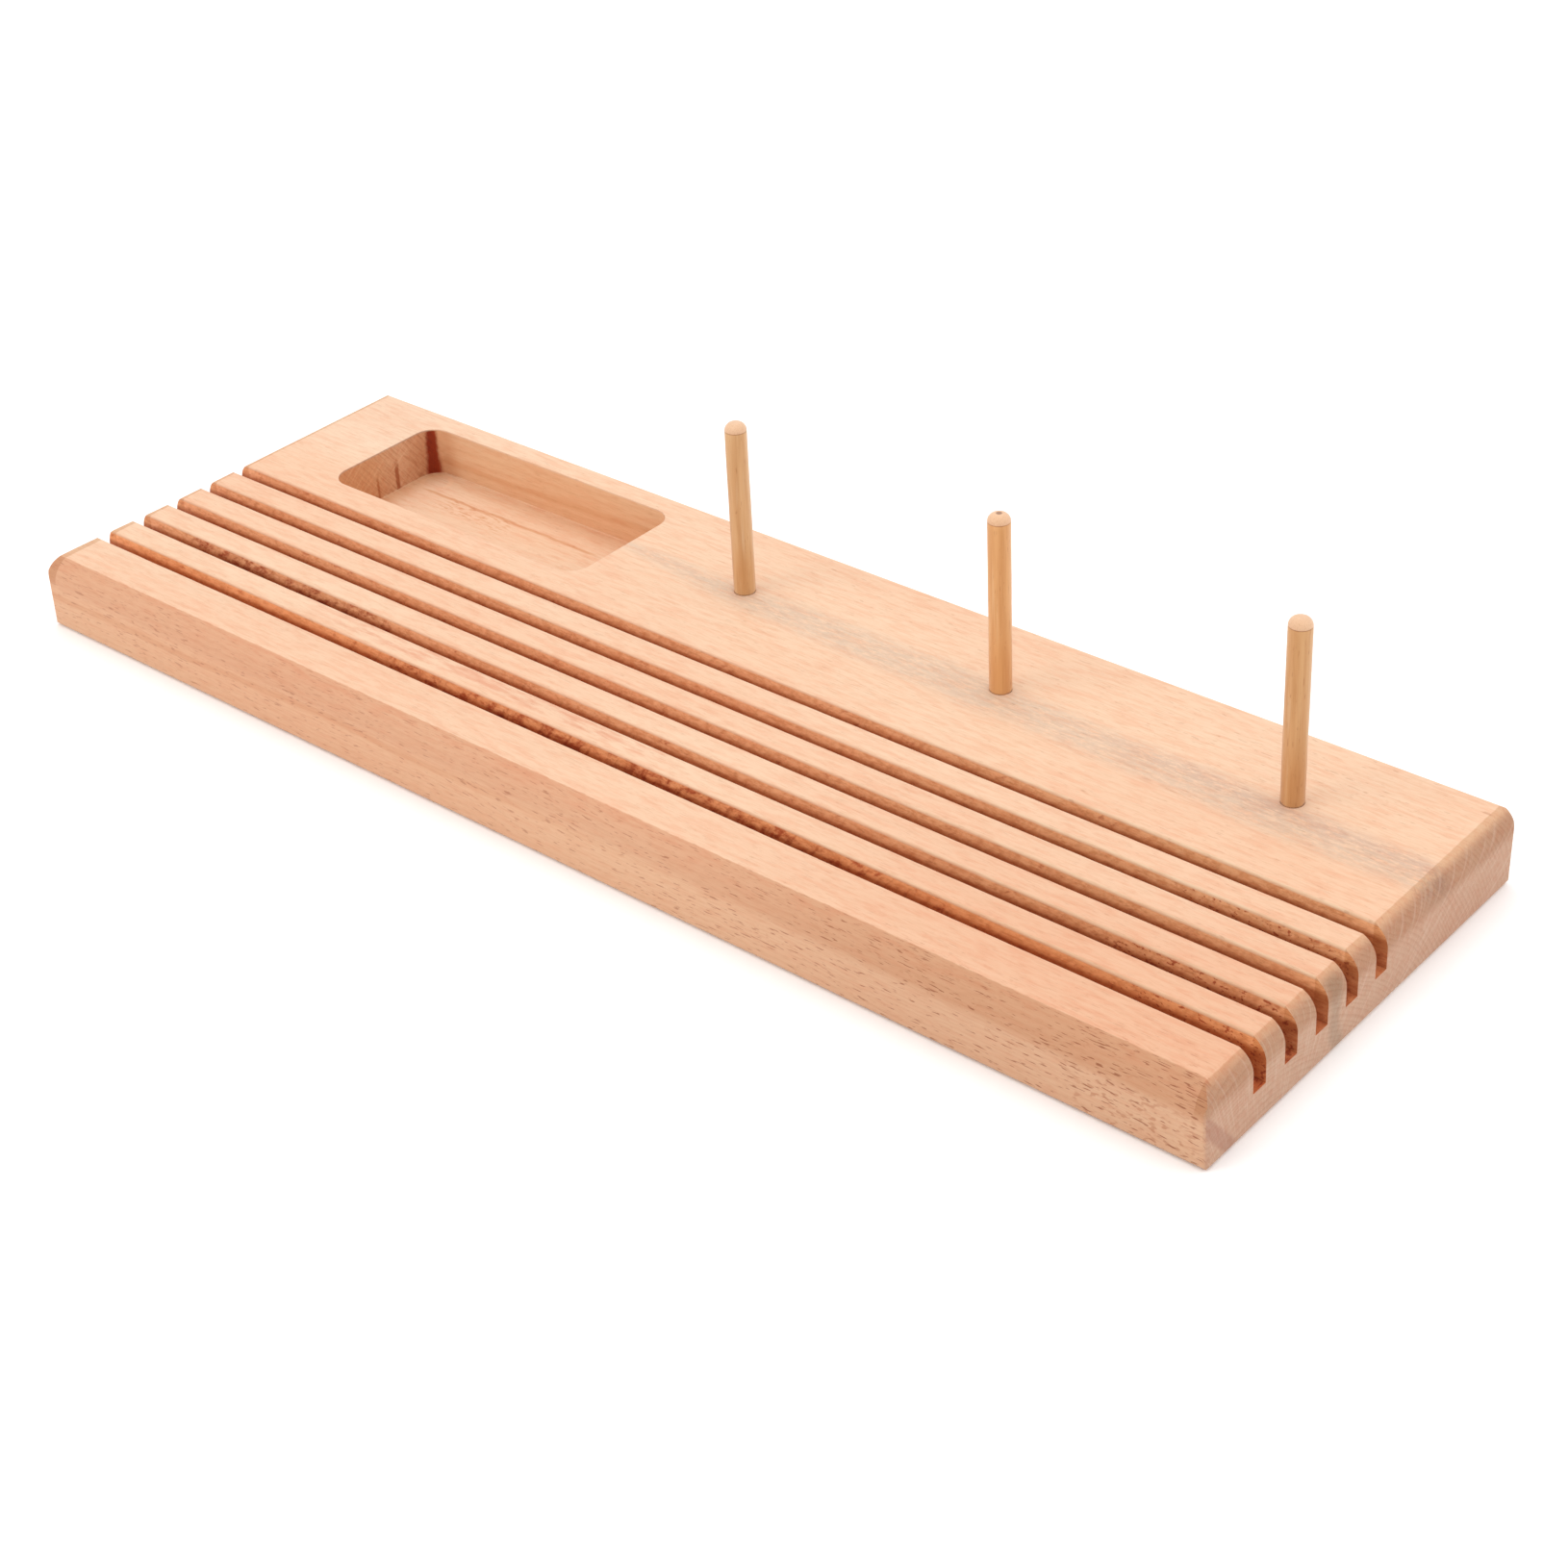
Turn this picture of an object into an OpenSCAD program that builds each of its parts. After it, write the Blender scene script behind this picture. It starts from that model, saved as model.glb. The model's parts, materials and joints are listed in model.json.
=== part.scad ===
// Ruler rack and sewing organiser: a beech board with full-length grooves for
// quilting rulers, a routed tray for small tools, and three spool pegs that
// stand in blind sockets. Millimetres, +Z up, +X along the board's length.
// The origin is the centre of the board's underside; the grooves face -Y.

/* [Board] */
// Length of the board, along the grooves
board_l = 400; // [380:1:500]
// Depth of the board, from front to back
board_w = 134.5; // [130:0.5:200]
// Thickness of the board
board_t = 21.2; // [20:0.1:30]
// Radius of the round-over along the front
front_r = 7.5; // [6.5:0.1:8]
// How far below the top face the front round-over's centre lies
front_drop = 7.1; // [6:0.1:7.3]
// Radius of the round-over along both ends
end_r = 6.5; // [6.2:0.1:8]
// How far below the top face the end round-overs' centres lie
end_drop = 6; // [5:0.1:6.2]
// Radius of the upright corners
corner_r = 2; // [1:0.1:4]
// Radius that eases the bottom edges
bottom_r = 1.5; // [0.5:0.1:3]

/* [Ruler grooves] */
// How many grooves run from end to end
groove_count = 5; // [1:1:5]
// Distance from the board's front to the first groove
groove_first = 18.3; // [12:0.1:20]
// Distance from one groove to the next
groove_pitch = 12.85; // [8:0.05:13]
// Width of a groove
groove_w = 5.1; // [3:0.1:6]
// Depth of a groove
groove_d = 11.5; // [6:0.5:14]

/* [Tray] */
// Distance from the board's left end to the tray
tray_left = 30.4; // [15:0.1:34]
// Distance from the board's front to the tray
tray_front = 84.3; // [82:0.1:86]
// Length of the tray
tray_l = 101.8; // [60:0.1:104]
// Width of the tray
tray_w = 43; // [20:0.1:44]
// Depth of the tray
tray_d = 15.4; // [6:0.1:17]
// Radius of the tray's upright corners
tray_r = 6.5; // [3:0.1:10]

/* [Spool pegs] */
// Distance from the board's left end to the first peg's axis
peg_first = 177.7; // [160:0.1:190]
// Distance from one peg to the next
peg_pitch = 88.6; // [60:0.1:90]
// Distance from the board's front to the row of pegs
peg_row = 106.3; // [90:0.1:115]
// Diameter of a peg
peg_d = 6.2; // [5.4:0.1:8]
// Diameter of the tenon that stands in the socket
tenon_d = 5.8; // [4:0.1:5.8]
// Length of a peg, from its foot to its tip
peg_l = 65; // [40:0.5:90]
// Radius that rounds the tip
tip_r = 2.3; // [1:0.1:2.4]
// Chamfer round the foot
foot_chamfer = 0.5; // [0.2:0.1:1]
// Height over which the tenon widens to the peg, just above the board
shoulder_h = 0.3; // [0.1:0.1:1]
// Depth of a peg's socket
socket_d = 12.5; // [8:0.5:16]
// Gap all round between a tenon and its socket
socket_gap = 0.05; // [0.02:0.01:0.1]

/* [Hidden] */
$fn = 64;
// How far a cutter runs past the face that it opens
over = 1;
left = -board_l / 2;
front = -board_w / 2;
peg_y = front + peg_row;
peg_floor = board_t - socket_d;
board_color = "#F7CDAA";
peg_color = "#D9AB74";

// What the round-over takes off an upper edge, drawn with the edge at x = 0
module round_over_cut(height, radius, drop) {
    difference() {
        translate([-over, height - drop])
            square([over + radius, drop + over]);
        translate([radius, height - drop])
            circle(radius);
    }
}

// What the easing takes off a bottom edge, drawn with the edge at the origin
module bottom_cut() {
    difference() {
        translate([-over, -over])
            square(over + bottom_r);
        translate([bottom_r, bottom_r])
            circle(bottom_r);
    }
}

// The board's outline from the end: rounded over at the front only
module end_outline() {
    difference() {
        square([board_w, board_t]);
        round_over_cut(board_t, front_r, front_drop);
        bottom_cut();
        translate([board_w, 0])
            mirror([1, 0])
                bottom_cut();
    }
}

// The board's outline from the front: rounded over at both ends
module front_outline() {
    difference() {
        square([board_l, board_t]);
        for (end = [0, 1])
            translate([end * board_l, 0])
                mirror([end, 0]) {
                    round_over_cut(board_t, end_r, end_drop);
                    bottom_cut();
                }
    }
}

// A rectangle with round corners, its lowest corner at the origin
module rounded_plan(length, width, radius) {
    translate([radius, 0])
        square([length - 2 * radius, width]);
    translate([0, radius])
        square([length, width - 2 * radius]);
    for (x = [radius, length - radius], y = [radius, width - radius])
        translate([x, y])
            circle(radius);
}

// The solid plank: the space that its three outlines share
module plank() {
    translate([left, front, 0])
        intersection() {
            linear_extrude(board_t)
                rounded_plan(board_l, board_w, corner_r);
            rotate([90, 0, 90])
                linear_extrude(board_l)
                    end_outline();
            translate([0, board_w, 0])
                rotate([90, 0, 0])
                    linear_extrude(board_w)
                        front_outline();
        }
}

// Full-length slots for rulers that stand on edge
module grooves() {
    for (i = [0 : groove_count - 1])
        translate([left - over, front + groove_first + i * groove_pitch, board_t - groove_d])
            cube([board_l + 2 * over, groove_w, groove_d + over]);
}

// Routed pocket for clips, chalk and bobbins
module tray() {
    translate([left + tray_left, front + tray_front, board_t - tray_d])
        linear_extrude(tray_d + over)
            rounded_plan(tray_l, tray_w, tray_r);
}

// Puts its children on the axis of peg number i, counted from the left
module at_peg(i) {
    translate([left + peg_first + i * peg_pitch, peg_y, peg_floor])
        children();
}

// Blind holes that the pegs push into
module sockets() {
    for (i = [0 : 2])
        at_peg(i)
            cylinder(h = socket_d + over, r = tenon_d / 2 + socket_gap);
}

module board() {
    color(board_color)
        difference() {
            plank();
            grooves();
            tray();
            sockets();
        }
}

// Half of a peg's outline, turned about its axis
module peg_outline() {
    radius = peg_d / 2;
    tenon_radius = tenon_d / 2;
    polygon([
        [0, 0],
        [tenon_radius - foot_chamfer, 0],
        [tenon_radius, foot_chamfer],
        [tenon_radius, socket_d],
        [radius, socket_d + shoulder_h],
        [radius, peg_l - tip_r],
        [radius - tip_r, peg_l - tip_r],
        [radius - tip_r, peg_l],
        [0, peg_l]
    ]);
    intersection() {
        translate([radius - tip_r, peg_l - tip_r])
            circle(tip_r);
        translate([radius - tip_r, peg_l - tip_r])
            square(tip_r);
    }
}

// A straight dowel with a rounded tip and a slightly thinner tenon
module spool_peg(i) {
    color(peg_color)
        at_peg(i)
            rotate_extrude()
                peg_outline();
}

module spool_peg_left() {
    spool_peg(0);
}

module spool_peg_middle() {
    spool_peg(1);
}

module spool_peg_right() {
    spool_peg(2);
}

board();
spool_peg_left();
spool_peg_middle();
spool_peg_right();
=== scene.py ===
"""Looks of the ruler rack: a beech board with ruler grooves and a tray, and three spool pegs.

The board and the pegs are rebuilt as finer meshes that stand where their CAD nodes do, and
their wood is worked out in three dimensions, so that the grain carries on round every edge.
"""
import json
import math

import bmesh
import bpy
from mathutils import Matrix, Vector, noise


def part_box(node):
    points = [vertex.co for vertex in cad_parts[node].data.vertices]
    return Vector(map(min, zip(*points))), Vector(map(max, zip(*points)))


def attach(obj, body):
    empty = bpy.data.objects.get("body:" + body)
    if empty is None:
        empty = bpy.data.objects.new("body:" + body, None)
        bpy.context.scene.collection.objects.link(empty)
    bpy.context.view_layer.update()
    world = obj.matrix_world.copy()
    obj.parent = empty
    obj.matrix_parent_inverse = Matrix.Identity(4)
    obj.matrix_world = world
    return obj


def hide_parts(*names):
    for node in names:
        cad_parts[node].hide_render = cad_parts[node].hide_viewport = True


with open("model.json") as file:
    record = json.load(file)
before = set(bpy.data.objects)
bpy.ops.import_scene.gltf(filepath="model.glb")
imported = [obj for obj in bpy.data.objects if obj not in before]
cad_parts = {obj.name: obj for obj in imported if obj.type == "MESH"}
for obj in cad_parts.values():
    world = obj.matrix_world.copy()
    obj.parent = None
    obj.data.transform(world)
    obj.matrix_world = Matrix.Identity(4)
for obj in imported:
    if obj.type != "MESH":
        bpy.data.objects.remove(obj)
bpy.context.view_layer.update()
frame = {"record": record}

MM = 0.001

# ---------------------------------------------------------------- sizes, from the frame

BOARD_LOW, BOARD_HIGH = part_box("board")
OPENINGS = {opening["name"]: opening["box_m"] for opening in frame["record"]["physics"]["openings"]}
PEG_NODES = ["spool_peg_left", "spool_peg_middle", "spool_peg_right"]
PEG_BODIES = ["peg_left", "peg_middle", "peg_right"]

# The stated openings stand this far clear of the wood around them
OPENING_GAP = 0.1 * MM
# The stated tray opening also stands clear of the tray's round corners
TRAY_CORNER_GAP = 2.05 * MM

TOP = BOARD_HIGH.z
FRONT = BOARD_LOW.y
BACK = BOARD_HIGH.y
HALF_LENGTH = BOARD_HIGH.x
HALF_WIDTH = BOARD_HIGH.y
FRONT_RADIUS = 7.5 * MM
FRONT_DROP = 7.1 * MM
END_RADIUS = 6.5 * MM
END_DROP = 6.0 * MM
# How far in from each end the top's crease lies: as drawn, and as the sander left it
END_CREASE = 4.0 * MM
LEFT_CREASE_FRONT = 1.6 * MM
LEFT_CREASE_BACK = 3.0 * MM
RIGHT_CREASE_BACK = 3.4 * MM
# The left-hand crease moves in between these distances behind the front
LEFT_CREASE_START = 5 * MM
LEFT_CREASE_END = 52 * MM
# The right-hand end is out of square: at the top its front corner lies this far in and its back
# corner this far out. Then the share of that at the foot, and how far along the board it fades
OUT_OF_SQUARE = 0.7 * MM
LEAN_AT_FOOT = 0.35
LEAN_REACH = 40 * MM
FRONT_CORNER_RADIUS = 2.0 * MM
BACK_CORNER_RADIUS = 1.2 * MM
BOTTOM_RADIUS = 1.5 * MM
BACK_EDGE_RADIUS = 0.4 * MM
# The outlines overlap by this much, so that no two faces lie in one plane
OVERLAP = 0.1 * MM

GROOVES = [OPENINGS[name] for name in sorted(OPENINGS) if name.startswith("groove")]
GROOVE_FRONTS = [low[1] - OPENING_GAP for low, high in GROOVES]
GROOVE_WIDTH = GROOVES[0][1][1] - GROOVES[0][0][1] + 2 * OPENING_GAP
GROOVE_FLOOR = GROOVES[0][0][2] - OPENING_GAP
# The lip that faces the front is sanded softer than the one that faces the back
NEAR_LIP = 0.12 * MM
FAR_LIP = 0.9 * MM
LEAST_LIP = 0.05 * MM
LIP_WEAR = 0.16 * MM
WEAR_LENGTH = 7 * MM
FINE_WEAR_LENGTH = 2.5 * MM
STATION_STEP = 2.0 * MM

TRAY_LOW = Vector(OPENINGS["tray"][0]) - Vector((TRAY_CORNER_GAP, TRAY_CORNER_GAP, OPENING_GAP))
TRAY_HIGH = Vector(OPENINGS["tray"][1]) + Vector((TRAY_CORNER_GAP, TRAY_CORNER_GAP, 0))
TRAY_RADIUS = 6.5 * MM
TRAY_LIP = 0.3 * MM
TRAY_FOOT = 0.3 * MM

PEG_RADIUS = 3.1 * MM
TENON_RADIUS = 2.9 * MM
SOCKET_RADIUS = 2.95 * MM
SOCKET_LIP = 0.25 * MM
TIP_RADIUS = 2.3 * MM
FOOT_CHAMFER = 0.5 * MM
SHOULDER_HEIGHT = 0.3 * MM
# A fine neck is turned round the peg just under its tip
NECK_HEIGHT = 0.3 * MM
NECK_DEPTH = 0.09 * MM
NECK_RISE = 0.12 * MM
# How far a peg is out of round, and over what length that changes
PEG_UNEVENNESS = 0.06 * MM
PEG_UNEVEN_LENGTH = 9 * MM


def peg_axis(node):
    """Where a peg's axis stands, as (x, y)."""
    low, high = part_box(node)
    return (low.x + high.x) / 2, (low.y + high.y) / 2


# ---------------------------------------------------------------- mesh tools

def arc(centre, radius, start, end, steps):
    """Points on a circle from one angle to another, in degrees, both ends included."""
    points = []
    for step in range(steps + 1):
        angle = math.radians(start + (end - start) * step / steps)
        points.append((centre[0] + radius * math.cos(angle), centre[1] + radius * math.sin(angle)))
    return points


def loft(name, rings):
    """A closed mesh through rings of equal length, with its two ends capped."""
    mesh = bpy.data.meshes.new(name)
    builder = bmesh.new()
    rows = [[builder.verts.new(point) for point in ring] for ring in rings]
    count = len(rows[0])
    for lower, upper in zip(rows, rows[1:]):
        for i in range(count):
            j = (i + 1) % count
            builder.faces.new((lower[i], lower[j], upper[j], upper[i]))
    builder.faces.new(rows[0][::-1])
    builder.faces.new(rows[-1])
    bmesh.ops.recalc_face_normals(builder, faces=builder.faces)
    builder.to_mesh(mesh)
    builder.free()
    piece = bpy.data.objects.new(name, mesh)
    bpy.context.scene.collection.objects.link(piece)
    return piece


def rounded_rectangle(low, high, radii, steps=8):
    """Points round a rectangle; the corners' radii run from the back right, anticlockwise."""
    signs = [(1, 1), (-1, 1), (-1, -1), (1, -1)]
    points = []
    for quarter, ((right, back), radius) in enumerate(zip(signs, radii)):
        centre = (high[0] - radius if right > 0 else low[0] + radius,
                  high[1] - radius if back > 0 else low[1] + radius)
        points += arc(centre, radius, quarter * 90, quarter * 90 + 90, steps)
    return points


def smooth_step(value, low, high):
    """0 below low, 1 above high, and smooth between."""
    share = min(1, max(0, (value - low) / (high - low)))
    return share * share * (3 - 2 * share)


def shade_smooth(mesh, sharp_angle):
    """Smooth shading, broken at edges that turn by more than the angle, in degrees."""
    for polygon in mesh.polygons:
        polygon.use_smooth = True
    mesh.set_sharp_from_angle(angle=math.radians(sharp_angle))


def carve(piece, operations):
    """Applies boolean operations, each (operation, other object), and removes the other objects."""
    for operation, other in operations:
        modifier = piece.modifiers.new(operation, "BOOLEAN")
        modifier.operation = operation
        modifier.solver = "EXACT"
        modifier.object = other
    graph = bpy.context.evaluated_depsgraph_get()
    carved = bpy.data.meshes.new_from_object(piece.evaluated_get(graph))
    piece.modifiers.clear()
    old = piece.data
    piece.data = carved
    carved.name = piece.name
    bpy.data.meshes.remove(old)
    for _, other in operations:
        bpy.data.objects.remove(other)


# ---------------------------------------------------------------- board

def worn_lip(x, groove, side):
    """A lip's radius at one place along a groove, worn unevenly; side is 0 near and 1 far."""
    size = FAR_LIP if side else NEAR_LIP
    # Each lip reads the noise along lines of its own
    place = Vector((x / WEAR_LENGTH, groove * 9.7 + side * 4.3, 0.5))
    fine = Vector((x / FINE_WEAR_LENGTH, groove * 5.1 + side * 8.9, 3.5))
    wear = noise.noise(place) + 0.5 * noise.noise(fine)
    return max(LEAST_LIP, size + wear * LIP_WEAR * (1 if side else 0.5))


def cross_section(x):
    """The board's outline across the grain, as (y, z), with every groove's lips."""
    points = arc((FRONT + BOTTOM_RADIUS, BOTTOM_RADIUS), BOTTOM_RADIUS, 180, 270, 4)
    points += arc((BACK - BOTTOM_RADIUS, BOTTOM_RADIUS), BOTTOM_RADIUS, 270, 360, 4)
    points += arc((BACK - BACK_EDGE_RADIUS, TOP - BACK_EDGE_RADIUS), BACK_EDGE_RADIUS, 0, 90, 6)
    for groove in reversed(range(len(GROOVE_FRONTS))):
        near = GROOVE_FRONTS[groove]
        far = near + GROOVE_WIDTH
        far_lip = worn_lip(x, groove, 1)
        near_lip = worn_lip(x, groove, 0)
        points += arc((far + far_lip, TOP - far_lip), far_lip, 90, 180, 6)
        points += [(far, GROOVE_FLOOR), (near, GROOVE_FLOOR)]
        points += arc((near - near_lip, TOP - near_lip), near_lip, 0, 90, 3)
    crease_angle = math.degrees(math.asin(FRONT_DROP / FRONT_RADIUS))
    centre = (FRONT + FRONT_RADIUS, TOP - FRONT_DROP)
    points += arc(centre, FRONT_RADIUS, 180 - crease_angle, 180, 14)
    return points


def grooved_blank():
    """The board's cross section, drawn from past one end to past the other."""
    count = round(2 * HALF_LENGTH / STATION_STEP)
    stations = [-HALF_LENGTH + i * STATION_STEP for i in range(count + 1)]
    stations[0] -= STATION_STEP
    stations[-1] += STATION_STEP
    return loft("board_wood", [[(x, y, z) for y, z in cross_section(x)] for x in stations])


def end_outline(side, crease):
    """One end's outline seen from the front, anticlockwise, as (x, z); side is 1 or -1."""
    foot = (HALF_LENGTH - BOTTOM_RADIUS, BOTTOM_RADIUS - OVERLAP)
    points = arc(foot, BOTTOM_RADIUS, 270, 360, 4)
    for across, up in arc((0, 0), END_RADIUS, 0, 90, 18):
        reach = (END_RADIUS - across) * crease / END_CREASE
        points.append((HALF_LENGTH - reach, TOP - END_DROP + up))
    return [(side * x, z) for x, z in points][::side]


def long_outline():
    """The board's outline seen from the front; the sander took more off some corners."""
    rings = []
    section_count = 48
    for section in range(section_count + 1):
        y = FRONT - STATION_STEP + (2 * HALF_WIDTH + 2 * STATION_STEP) * section / section_count
        eased = smooth_step(y, FRONT + LEFT_CREASE_START, FRONT + LEFT_CREASE_END)
        left = LEFT_CREASE_FRONT + (LEFT_CREASE_BACK - LEFT_CREASE_FRONT) * eased
        eased = smooth_step(y, 0, BACK)
        right = END_CREASE + (RIGHT_CREASE_BACK - END_CREASE) * eased
        outline = end_outline(1, right) + end_outline(-1, left)
        rings.append([(x, y, z) for x, z in outline])
    return loft("long_outline", rings)


def plan_outline():
    """The board's outline from above, which eases its upright corners."""
    low = (-HALF_LENGTH - OVERLAP, FRONT - OVERLAP)
    high = (HALF_LENGTH + OVERLAP, BACK + OVERLAP)
    radii = [BACK_CORNER_RADIUS, BACK_CORNER_RADIUS, FRONT_CORNER_RADIUS, FRONT_CORNER_RADIUS]
    outline = rounded_rectangle(low, high, radii, 6)
    ends = (-STATION_STEP, TOP + STATION_STEP)
    return loft("plan_outline", [[(x, y, z) for x, y in outline] for z in ends])


def saw_out_of_square(mesh):
    """Moves the right-hand end inwards at its front and outwards at its back."""
    for vertex in mesh.vertices:
        near_end = smooth_step(vertex.co.x, HALF_LENGTH - LEAN_REACH, HALF_LENGTH)
        height_share = LEAN_AT_FOOT + (1 - LEAN_AT_FOOT) * vertex.co.z / TOP
        lean = vertex.co.y / HALF_WIDTH * height_share
        vertex.co.x += OUT_OF_SQUARE * near_end * lean


def tray_cutter():
    """The tray's hollow, flared at its lip and tight at its foot."""
    levels = [(TRAY_LOW.z, -TRAY_FOOT), (TRAY_LOW.z + TRAY_FOOT * 0.3, -TRAY_FOOT * 0.3),
              (TRAY_LOW.z + TRAY_FOOT, 0)]
    for across, up in arc((0, 0), TRAY_LIP, 180, 90, 6):
        levels.append((TOP - TRAY_LIP + up, TRAY_LIP + across))
    levels.append((TOP + STATION_STEP, TRAY_LIP + STATION_STEP))
    rings = []
    for z, offset in levels:
        low = (TRAY_LOW.x - offset, TRAY_LOW.y - offset)
        high = (TRAY_HIGH.x + offset, TRAY_HIGH.y + offset)
        radii = [TRAY_RADIUS + offset] * 4
        rings.append([(x, y, z) for x, y in rounded_rectangle(low, high, radii, 10)])
    return loft("tray_cutter", rings)


def socket_cutter(node):
    """The blind hole under a peg, with its mouth eased."""
    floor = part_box(node)[0].z
    centre = peg_axis(node)
    levels = [(floor, SOCKET_RADIUS), (TOP - SOCKET_LIP, SOCKET_RADIUS),
              (TOP - SOCKET_LIP * 0.3, SOCKET_RADIUS + SOCKET_LIP * 0.3),
              (TOP, SOCKET_RADIUS + SOCKET_LIP), (TOP + STATION_STEP, SOCKET_RADIUS + SOCKET_LIP)]
    rings = [[(x, y, z) for x, y in arc(centre, radius, 0, 351, 39)] for z, radius in levels]
    return loft("socket_cutter", rings)


def make_board():
    """The board as one clean mesh, with its outer edges and the lips of its hollows eased."""
    board = grooved_blank()
    steps = [("INTERSECT", long_outline()), ("INTERSECT", plan_outline())]
    steps += [("DIFFERENCE", tray_cutter())]
    steps += [("DIFFERENCE", socket_cutter(node)) for node in PEG_NODES]
    carve(board, steps)
    saw_out_of_square(board.data)
    shade_smooth(board.data, 16)
    return board


# ---------------------------------------------------------------- pegs

def peg_profile(length, socket_depth, flat):
    """A peg's outline from foot to tip, as (radius, height); a flat tip lacks its last cap."""
    profile = [(TENON_RADIUS - FOOT_CHAMFER, 0), (TENON_RADIUS, FOOT_CHAMFER),
               (TENON_RADIUS, socket_depth), (PEG_RADIUS, socket_depth + SHOULDER_HEIGHT)]
    shaft_end = length - TIP_RADIUS
    step_count = 36
    start = socket_depth + 2 * SHOULDER_HEIGHT
    for step in range(step_count + 1):
        profile.append((PEG_RADIUS, start + (shaft_end - NECK_HEIGHT - start) * step / step_count))
    profile.append((PEG_RADIUS - NECK_DEPTH, shaft_end))
    profile.append((PEG_RADIUS, shaft_end + NECK_RISE))
    for across, up in arc((PEG_RADIUS - TIP_RADIUS, 0), TIP_RADIUS, 8, 82 if flat else 90, 9):
        profile.append((across, shaft_end + up))
    return profile


def make_peg(node, seed):
    """One turned peg, very slightly out of true as a real dowel is."""
    low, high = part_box(node)
    centre = Vector((*peg_axis(node), low.z))
    side_count = 56
    rings = []
    for radius, height in peg_profile(high.z - low.z, TOP - low.z, node == PEG_NODES[1]):
        ring = []
        for side in range(side_count):
            angle = 2 * math.pi * side / side_count
            reach = radius
            if height > TOP - low.z:
                along = height / PEG_UNEVEN_LENGTH + seed * 7.3
                spot = Vector((math.cos(angle), math.sin(angle), along))
                reach += min(0, noise.noise(spot) - 0.2) * PEG_UNEVENNESS
            ring.append(centre + Vector((reach * math.cos(angle), reach * math.sin(angle), height)))
        rings.append(ring)
    peg = loft(node + "_wood", rings)
    shade_smooth(peg.data, 32)
    return peg


# ---------------------------------------------------------------- shader tools

SHEEN_ROUGHNESS = 0.6


class Value:
    """A number that a shader node works out, so that formulas read as formulas."""

    def __init__(self, graph, socket):
        self.graph = graph
        self.socket = socket

    def __add__(self, other):
        return self.graph.math("ADD", self, other)

    def __sub__(self, other):
        return self.graph.math("SUBTRACT", self, other)

    def __rsub__(self, other):
        return self.graph.math("SUBTRACT", other, self)

    def __mul__(self, other):
        return self.graph.math("MULTIPLY", self, other)

    def __truediv__(self, other):
        return self.graph.math("DIVIDE", self, other)

    def __abs__(self):
        return self.graph.math("ABSOLUTE", self)

    __radd__ = __add__


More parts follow.
